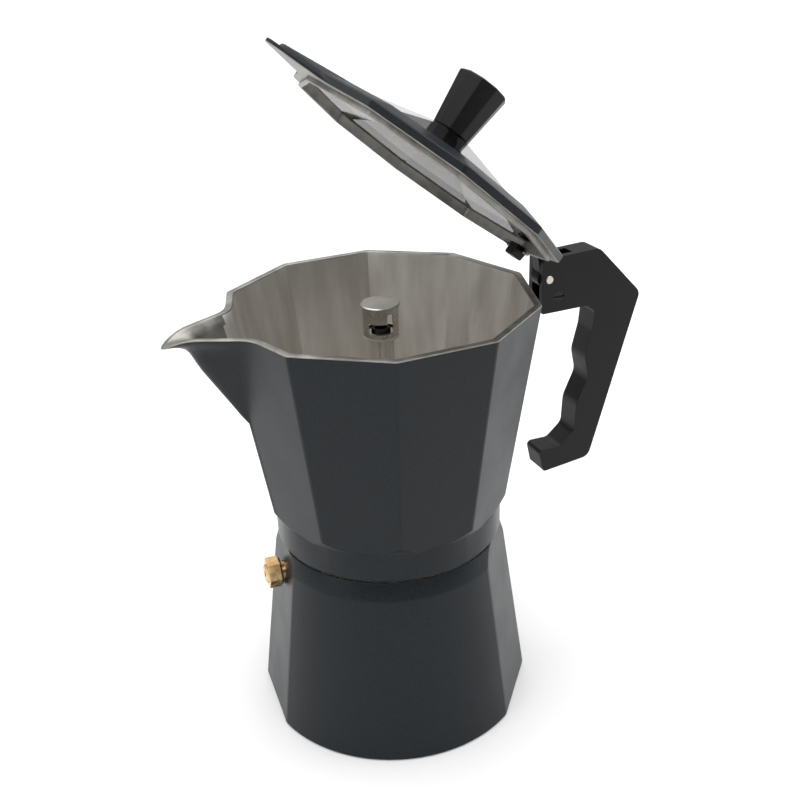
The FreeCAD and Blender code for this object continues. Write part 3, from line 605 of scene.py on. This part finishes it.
def build_collector():
    template = collector_ring(rim_z - base_z)
    bevel_low = base_z - 2.0
    bevel_slope = 0.7
    bore_r = 37.65
    bore_top = 84.4
    trough_x = -50.5

    def disc(radius, z):
        return round_like(template, radius, z)

    def base_row(lift, tuck=0.0):
        """The scalloped edge where the turned bevel under the flats meets the casting."""
        ring = []
        for p in template:
            away = Vector((p.x, p.y, 0))
            out = away.length
            grow = out * (rim_corner - base_corner) / (rim_z - base_z) / base_corner
            z = (skirt_r - bevel_slope * bevel_low - out + grow * base_z) / (grow - bevel_slope)
            z = max(z, bevel_low + 0.3) + lift
            r = min(out + grow * (z - base_z), skirt_r + bevel_slope * (z - bevel_low)) - tuck
            ring.append(away.normalized() * max(r, skirt_r - 0.1) + Vector((0, 0, z)))
        return ring

    edge = 0.45
    outer_levels = [
        60.0, 48.0, 38.0, 35.0, 32.0, 28.0, 24.0, 20.0, 16.0, 13.0,
        10.0, 8.0, 6.5, 5.0, 4.0, 3.2, 2.4, 1.7, 1.1,
    ]
    outside = [(collector_ring(d), 0) for d in outer_levels]
    rim = [
        (collector_ring(edge), 1), (collector_ring(0.14, 0.13), 1), (collector_ring(0.0, edge), 1),
        (collector_ring(0.0, collector_wall - edge), 1),
        (collector_ring(0.14, collector_wall - 0.13), 1), (collector_ring(edge, collector_wall, 0.4), 1),
    ]
    inner_levels = [1.2, 2.0, 3.0, 4.0, 5.5, 7.5, 10.0, 14.0, 19.0, 24.0, 29.0, 32.4, 36.0, 48.0, 60.0]
    inside = [(collector_ring(d, collector_wall, min(2.6, 0.4 + d * 0.8), 0.3), 1) for d in inner_levels]
    floor_depth = rim_z - floor_z
    floor = [
        (collector_ring(floor_depth - 1.2, collector_wall), 1),
        (collector_ring(floor_depth - 0.3, collector_wall + 0.4), 1),
        (collector_ring(floor_depth, collector_wall + 1.4), 1),
        (disc(33.0, floor_z), 1), (disc(12.0, floor_z + 4.1), 1),
        (disc(6.0, floor_z + 5.3), 1), (disc(4.2, floor_z + 6.4), 1),
    ]
    rings = [
        (disc(riser_bore_r, riser_foot), 1), (disc(30.0, bore_top), 1),
        (disc(bore_r, bore_top), 1), (disc(bore_r, skirt_z + 0.4), 1),
        (disc(bore_r + 0.4, skirt_z), 0), (disc(skirt_r - 0.3, skirt_z), 0),
        (disc(skirt_r, skirt_z + 0.3), 0), (disc(skirt_r, bevel_low - 0.3), 0),
        (base_row(-0.25), 0), (base_row(0.0, 0.05), 0), (base_row(0.3), 0),
    ] + outside + rim + inside + floor
    bm = bmesh.new()
    loft(bm, [ring for ring, finish in rings], [finish for ring, finish in rings])
    for face in bm.faces:
        middle = face.calc_center_median()
        if face.material_index == 1 and (middle.z > rim_z - edge - 0.05 or middle.x < trough_x):
            face.material_index = 3
    ribbed_column(bm)
    # Its third finish is painted shade round the column's mouth.
    piece("collector_casting", bm, "collector", "collector", "coated_aluminium", coating, aluminium,
          painted_shade, cast_aluminium, sharp=45.0)


def ribbed_column(bm):
    """The rising tube in the middle: ten cast ribs for strength, and a turned flange for the cap."""
    count = 120
    levels = [(floor_z + 5.0, 1.0), (floor_z + 50.6, 1.0), (floor_z + 51.4, 0.0)]

    def ring(z, ribs, radius=3.5):
        points = []
        for i in range(count):
            bump = max(0.0, math.cos(math.radians(360 * i / count * sides + 180))) ** 3
            points.append(polar(radius + (0.95 * bump - 0.3) * ribs, 360 * i / count, z))
        return points

    top = floor_z + 53.2
    rings = [ring(z, ribs) for z, ribs in levels]
    rings += [
        ring(top - 1.0, 0, 3.9), ring(top - 0.9, 0, 5.8), ring(top - 0.7, 0, 6.0), ring(top - 0.15, 0, 6.0),
        ring(top, 0, 5.8), ring(top, 0, 3.2), ring(top + 2.0, 0, 3.2), ring(top + 2.2, 0, 3.0),
        ring(top + 2.2, 0, riser_bore_r), ring(riser_foot, 0, riser_bore_r),
    ]
    # The bands round the column's mouth, under and inside the can, take painted shade.
    unshaded_bands = 8
    loft(bm, rings, [1] * unshaded_bands + [2] * (len(rings) - unshaded_bands))


build_collector()


# ---- Column cap ------------------------------------------------------------------------------
# A little stainless can, deep drawn and polished, pressed over the column. Coffee wells out of
# two L-shaped windows nipped in its wall.

def polished_steel():
    """Stainless steel polished by tumbling: a soft mirror, slowly clouded by handling."""
    material, tree, place = new_finish("Polished stainless steel")
    scratch = add(tree, "TexNoise", {"Vector": place, "Scale": per_mm(6.0), "Detail": 2.0})
    blend = add(tree, "MapRange", {
        "Value": scratch.outputs["Fac"], "From Min": noise_low, "From Max": noise_high,
    })
    tint = add(tree, "MixRGB", {
        "Fac": blend.outputs["Result"],
        "Color1": linear("#b9b4ad"), "Color2": linear("#c9c5bf"),
    })
    gloss = add(tree, "MapRange", {
        "Value": scratch.outputs["Fac"], "From Min": noise_low, "From Max": noise_high,
        "To Min": 0.26, "To Max": 0.34,
    })
    shader = add(tree, "BsdfPrincipled", {
        "Base Color": tint.outputs["Color"], "Metallic": 1.0,
        "Roughness": gloss.outputs["Result"],
    })
    add(tree, "OutputMaterial", {"Surface": shader.outputs["BSDF"]})
    return material


mirror_steel = polished_steel()


def build_column_can():
    """The can, with painted shade on the walls inside it, kept apart from the polished outside."""
    bm = softened("column_cap", 0.15, 50.0)
    inside = 5.6
    # Inner walls take the dark material, as painted shade.
    for face in bm.faces:
        middle = face.calc_center_median()
        if math.hypot(middle.x, middle.y) < inside and abs(face.normal.z) < 0.5:
            face.material_index = 1
    piece("column_can", bm, "collector", "column_cap", "polished_steel", mirror_steel, painted_shade,
          sharp=30.0)


build_column_can()


# ---- Handle, its screw and the hinge pin -----------------------------------------------------
# One heat-proof nylon moulding with a finger-shaped grip and a hook at its foot. Its forked front
# takes the collector's lug and the lid's arm; a slotted screw and a steel pin cross the fork.

def satin_black_plastic():
    """Glass-filled nylon from a spark-eroded mould: deep neutral black with an even satin grain. Its
    specular level too is lowered from the default to match the object."""
    material, tree, place = new_finish("Satin black nylon")
    grain = add(tree, "TexNoise", {"Vector": place, "Scale": per_mm(0.45), "Detail": 2.0})
    rub = add(tree, "TexNoise", {"Vector": place, "Scale": per_mm(14.0), "Detail": 2.0})
    blend = add(tree, "MapRange", {
        "Value": rub.outputs["Fac"], "From Min": noise_low, "From Max": noise_high,
    })
    tint = add(tree, "MixRGB", {
        "Fac": blend.outputs["Result"],
        "Color1": linear("#0b0b0d"), "Color2": linear("#111113"),
    })
    relief = add(tree, "Bump", {"Height": grain.outputs["Fac"], "Strength": 0.16, "Distance": 0.08 * mm})
    gloss = add(tree, "MapRange", {
        "Value": rub.outputs["Fac"], "From Min": noise_low, "From Max": noise_high,
        "To Min": 0.34, "To Max": 0.44,
    })
    shader = add(tree, "BsdfPrincipled", {
        "Base Color": tint.outputs["Color"], "IOR": 1.5, "Specular IOR Level": 0.2,
        "Normal": relief.outputs["Normal"], "Roughness": gloss.outputs["Result"],
    })
    add(tree, "OutputMaterial", {"Surface": shader.outputs["BSDF"]})
    return material


def blackened_steel():
    """Steel screw with a dipped black oxide finish: almost lost against the moulding round it."""
    material, tree, place = new_finish("Black-oxide steel")
    wear = add(tree, "TexNoise", {"Vector": place, "Scale": per_mm(0.8), "Detail": 3.0})
    blend = add(tree, "MapRange", {
        "Value": wear.outputs["Fac"], "From Min": noise_low, "From Max": noise_high,
    })
    tint = add(tree, "MixRGB", {
        "Fac": blend.outputs["Result"], "Color1": linear("#26262a"), "Color2": linear("#3a3a3e"),
    })
    gloss = add(tree, "MapRange", {
        "Value": wear.outputs["Fac"], "From Min": noise_low, "From Max": noise_high,
        "To Min": 0.4, "To Max": 0.55,
    })
    shader = add(tree, "BsdfPrincipled", {
        "Base Color": tint.outputs["Color"], "Metallic": 1.0,
        "Roughness": gloss.outputs["Result"],
    })
    add(tree, "OutputMaterial", {"Surface": shader.outputs["BSDF"]})
    return material


black_plastic = satin_black_plastic()
black_oxide = blackened_steel()
piece("handle_moulding", softened("handle", 0.7, 30.0, 3), "collector", "handle", "black_plastic",
      black_plastic)
piece("handle_screw_slotted", softened("handle_screw", 0.15), "collector", "handle_screw", "steel",
      black_oxide)
piece("hinge_pin_bright", softened("hinge_pin", 0.1), "collector", "hinge_pin", "polished_steel",
      mirror_steel)


# ---- Lid ring --------------------------------------------------------------------------------
# The lid's frame is cast to the rim's outline with a beak over the spout, coated on top and bare
# beneath. It is shaped closed and then swung open about the hinge pin.

hinge = next(j for j in frame["joints"] if j["name"] == "lid_hinge")
pivot = Vector(hinge["pos_m"]) / mm
lid_swing = (Matrix.Translation(pivot) @ Matrix.Rotation(math.radians(-hinge["range_deg"][0]), 4, "Y")
             @ Matrix.Translation(-pivot))
lid_z = rim_z + 0.3
lid_corner = 52.0
lid_wall = 2.6
crown_corner = 41.0
crown_rise = 3.0
crown_shell = 1.1
window_corner = 46.8


def lid_top(corner_r):
    """Height of the frame's sloping top at a corner radius."""
    return lid_z + lid_wall + crown_rise * (lid_corner - corner_r) / (lid_corner - crown_corner)


def build_lid_ring():
    lip_outer = 49.2
    lip_inner = 47.6
    lip_foot = lid_z - 1.4
    tip = 65.6
    hood = 61.5

    def ring(corner_r, z, nose=0.0, half_width=3.0, blunt=1.0, ease=0.6):
        return prowed(corner_r, z, ease, max(nose, corner_r), half_width, blunt)

    rings = [
        (ring(lid_corner - 0.25, lid_z, tip - 0.3, 11.3, 4.0), 1),
        (ring(lid_corner, lid_z + 0.25, tip, 11.5, 4.2), 0),
        (ring(lid_corner, lid_z + 1.05, tip, 11.5, 4.2), 0),
        (ring(lid_corner, lid_z + 1.3, tip - 0.3, 11.3, 4.0), 0),
        (ring(lid_corner, lid_z + 1.32, hood + 0.3, 9.4, 3.4), 0),
        (ring(lid_corner, lid_z + 1.5, hood, 9.2, 3.2), 0),
        (ring(lid_corner, lid_z + lid_wall - 0.3, hood - 0.3, 9.0, 3.0), 0),
        (ring(lid_corner - 0.35, lid_top(lid_corner - 0.35), hood - 0.9, 8.7, 2.8), 0),
        (ring(crown_corner + 0.4, lid_top(crown_corner + 0.4), crown_corner + 1.2, 6.0, 2.0), 0),
        (ring(crown_corner, lid_top(crown_corner) - 0.2), 0),
        (ring(crown_corner, lid_top(crown_corner) - crown_shell), 1),
        (ring(window_corner + 0.2, lid_top(window_corner + 0.2) - crown_shell), 1),
        (ring(lip_inner, lid_z + lid_wall - crown_shell), 1),
        (ring(lip_inner, lip_foot + 0.25), 1), (ring(lip_inner + 0.25, lip_foot), 1),
        (ring(lip_outer - 0.25, lip_foot), 1), (ring(lip_outer, lip_foot + 0.25), 1),
        (ring(lip_outer, lid_z), 1),
    ]
    bm = bmesh.new()
    loft(bm, [r for r, finish in rings], [finish for r, finish in rings], wrapped=True)
    bm.transform(lid_swing)
    piece("lid_frame", bm, "lid", "lid_ring", "coated_aluminium", coating, cast_aluminium)


build_lid_ring()


# ---- Lid window ------------------------------------------------------------------------------
# A clear shallow dome of ten flat panels, pressed up under the frame's crown. The panels run
# straight up to a small flat seat that the knob stands on.

def clear_plastic():
    """Clear styrene copolymer: faintly grey, glossy, with the slight ripple of a thick moulding."""
    material, tree, place = new_finish("Clear moulded plastic")
    ripple = add(tree, "TexNoise", {"Vector": place, "Scale": per_mm(9.0), "Detail": 1.0})
    relief = add(tree, "Bump", {"Height": ripple.outputs["Fac"], "Strength": 0.1, "Distance": 0.3 * mm})
    gloss = add(tree, "MapRange", {
        "Value": ripple.outputs["Fac"], "From Min": noise_low, "From Max": noise_high,
        "To Min": 0.03, "To Max": 0.09,
    })
    shader = add(tree, "BsdfPrincipled", {
        "Base Color": linear("#62625f"), "IOR": 1.56, "Transmission Weight": 1.0,
        "Roughness": gloss.outputs["Result"],
        "Normal": relief.outputs["Normal"],
    })
    add(tree, "OutputMaterial", {"Surface": shader.outputs["BSDF"]})
    return material


clear = clear_plastic()
window_seat_r = 6.9
window_rise = 11.1
window_wall = 1.6


def dome_z(corner_r):
    """Height of the dome's outer face at a corner radius."""
    edge = lid_top(window_corner) - crown_shell - 0.1
    return edge + window_rise * (window_corner - corner_r) / (window_corner - window_seat_r)


def build_window():
    foot = dome_z(window_corner) - 1.0
    inner = window_corner - 2 * window_wall
    middle = 26.0
    hub = 2.1
    seat = dome_z(window_seat_r)
    profile = [
        (window_corner - 0.2, foot), (window_corner, foot + 0.2),
        (window_corner, dome_z(window_corner) - 0.25), (window_corner - 0.25, dome_z(window_corner - 0.25)),
        (middle, dome_z(middle)), (window_seat_r + 0.5, dome_z(window_seat_r + 0.5)),
        (window_seat_r, seat), (hub, seat), (hub, seat - window_wall), (window_seat_r, seat - window_wall),
        (middle, dome_z(middle) - window_wall), (inner, foot),
    ]
    bm = bmesh.new()
    loft(bm, [ten_sided(r, z, ease=min(0.5, r * 0.1)) for r, z in profile], wrapped=True)
    bm.transform(lid_swing)
    piece("lid_clear_dome", bm, "lid", "lid_window", "clear_plastic", clear, sharp=20.0)


build_window()


# ---- Lid arm and its screws ------------------------------------------------------------------
# A black moulded leaf: an eye on the hinge pin, an arm over the rim, and a foot that two small
# screws hold up under the frame.

piece("lid_arm_moulding", softened("lid_arm", 0.3, 30.0), "lid", "lid_arm", "black_plastic", black_plastic)
repaint("arm_screws", steel)


# ---- Knob ------------------------------------------------------------------------------------
# A ten-sided black knob that widens upwards stands on the dome's seat. Under the dome a black
# nut, a rubber washer and the screw that runs up into the knob hold it.

def build_knob():
    foot = dome_z(window_seat_r)
    height = 18.4
    half_turn = corner_step / 2
    top = foot + height
    profile = [
        (6.5, foot), (6.8, foot + 0.3), (9.05, top - 1.0), (8.95, top - 0.5),
        (8.3, top - 0.08), (5.0, top), (0.6, top),
    ]
    bm = bmesh.new()
    loft(bm, [ten_sided(r, z, half_turn, ease=min(0.35, r * 0.1), across=2) for r, z in profile], capped=True)
    bm.transform(lid_swing)
    piece("knob_moulding", bm, "lid", "knob", "black_plastic", black_plastic, sharp=30.0)


build_knob()
piece("knob_nut_turned", softened("knob_collar", 0.35), "lid", "knob_collar", "black_plastic", black_plastic)
repaint("knob_washer", black_rubber)
repaint("knob_screw", steel)


# ---- Studio ----------------------------------------------------------------------------------
# A pale flat floor under a bright overhead, with a weak soft box to each side and one above. The
# front is the darkest side, so the coated flats that face it fall away to near black.

def pale_floor():
    material, tree, place = new_finish("Pale matt studio floor")
    drift = add(tree, "TexNoise", {"Vector": place, "Scale": per_mm(400.0), "Detail": 1.0})
    blend = add(tree, "MapRange", {
        "Value": drift.outputs["Fac"], "From Min": noise_low, "From Max": noise_high,
    })
    tint = add(tree, "MixRGB", {
        "Fac": blend.outputs["Result"], "Color1": linear("#dcdcdc"), "Color2": linear("#e1e1e1"),
    })
    shader = add(tree, "BsdfPrincipled", {"Base Color": tint.outputs["Color"], "Roughness": 0.8})
    add(tree, "OutputMaterial", {"Surface": shader.outputs["BSDF"]})
    return material


def build_floor():
    bm = bmesh.new()
    bmesh.ops.create_grid(bm, x_segments=1, y_segments=1, size=8.0)
    mesh = bpy.data.meshes.new("floor")
    bm.to_mesh(mesh)
    bm.free()
    mesh.materials.append(pale_floor())
    floor = bpy.data.objects.new("floor", mesh)
    floor.location.z = -0.0002
    bpy.context.scene.collection.objects.link(floor)


def build_world():
    """Soft daylight all round: strongest from overhead and least from the front."""
    world = bpy.data.worlds.new("Studio")
    world.use_nodes = True
    tree = world.node_tree
    tree.nodes.clear()
    way = add(tree, "SeparateXYZ", {"Vector": add(tree, "TexCoord").outputs["Generated"]})
    front = add(tree, "MapRange", {
        "Value": way.outputs["Y"], "From Min": -0.9, "From Max": 0.3, "To Min": 0.2, "To Max": 0.38,
    }, interpolation_type="SMOOTHSTEP")
    overhead = add(tree, "MapRange", {
        "Value": way.outputs["Z"], "From Min": 0.35, "From Max": 0.85, "To Min": 0.0, "To Max": 1.0,
    }, interpolation_type="SMOOTHSTEP")
    strength = add(tree, "MapRange", {
        "Value": overhead.outputs["Result"], "To Min": front.outputs["Result"], "To Max": 2.3,
    })
    light = add(tree, "Background", {"Color": linear("#ffffff"), "Strength": strength.outputs["Result"]})
    add(tree, "OutputWorld", {"Surface": light.outputs["Background"]})
    bpy.context.scene.world = world


def softbox(name, place, target, size, power):
    lamp = bpy.data.lights.new(name, "AREA")
    lamp.shape = "RECTANGLE"
    lamp.size = size[0]
    lamp.size_y = size[1]
    lamp.energy = power
    obj = bpy.data.objects.new(name, lamp)
    obj.location = place
    obj.rotation_euler = (Vector(target) - Vector(place)).to_track_quat("-Z", "Y").to_euler()
    bpy.context.scene.collection.objects.link(obj)


def build_camera():
    """A standard lens close in front, a little to the spout's side and above the rim."""
    distance = 0.36684
    target_shift = 0.00551
    target_height = 0.11556
    turn = math.radians(-23.35)
    tilt = math.radians(25.65)
    roll = math.radians(-2.01)
    away = Vector((math.sin(turn) * math.cos(tilt), -math.cos(turn) * math.cos(tilt), math.sin(tilt)))
    right = Vector((math.cos(turn), math.sin(turn), 0))
    up = away.cross(right)
    right, up = right * math.cos(roll) + up * math.sin(roll), up * math.cos(roll) - right * math.sin(roll)
    target = Vector((math.cos(turn), math.sin(turn), 0)) * target_shift + Vector((0, 0, target_height))
    lens = bpy.data.cameras.new("camera")
    lens.sensor_width = 36.0
    lens.lens = 47.93
    lens.clip_start = 0.01
    camera = bpy.data.objects.new("camera", lens)
    turned = Matrix((right, up, away)).transposed().to_4x4()
    camera.matrix_world = Matrix.Translation(target + away * distance) @ turned
    bpy.context.scene.collection.objects.link(camera)
    bpy.context.scene.camera = camera


build_floor()
build_world()
softbox("left softbox", (-0.9, -0.25, 0.5), (0, 0, 0.1), (0.5, 0.9), 1.3)
softbox("right softbox", (0.9, -0.35, 0.45), (0, 0, 0.1), (0.5, 0.9), 1.3)
softbox("top softbox", (0.0, 0.2, 1.1), (0, 0, 0.1), (0.9, 0.9), 3.0)
build_camera()
bpy.context.scene.view_settings.view_transform = "Standard"
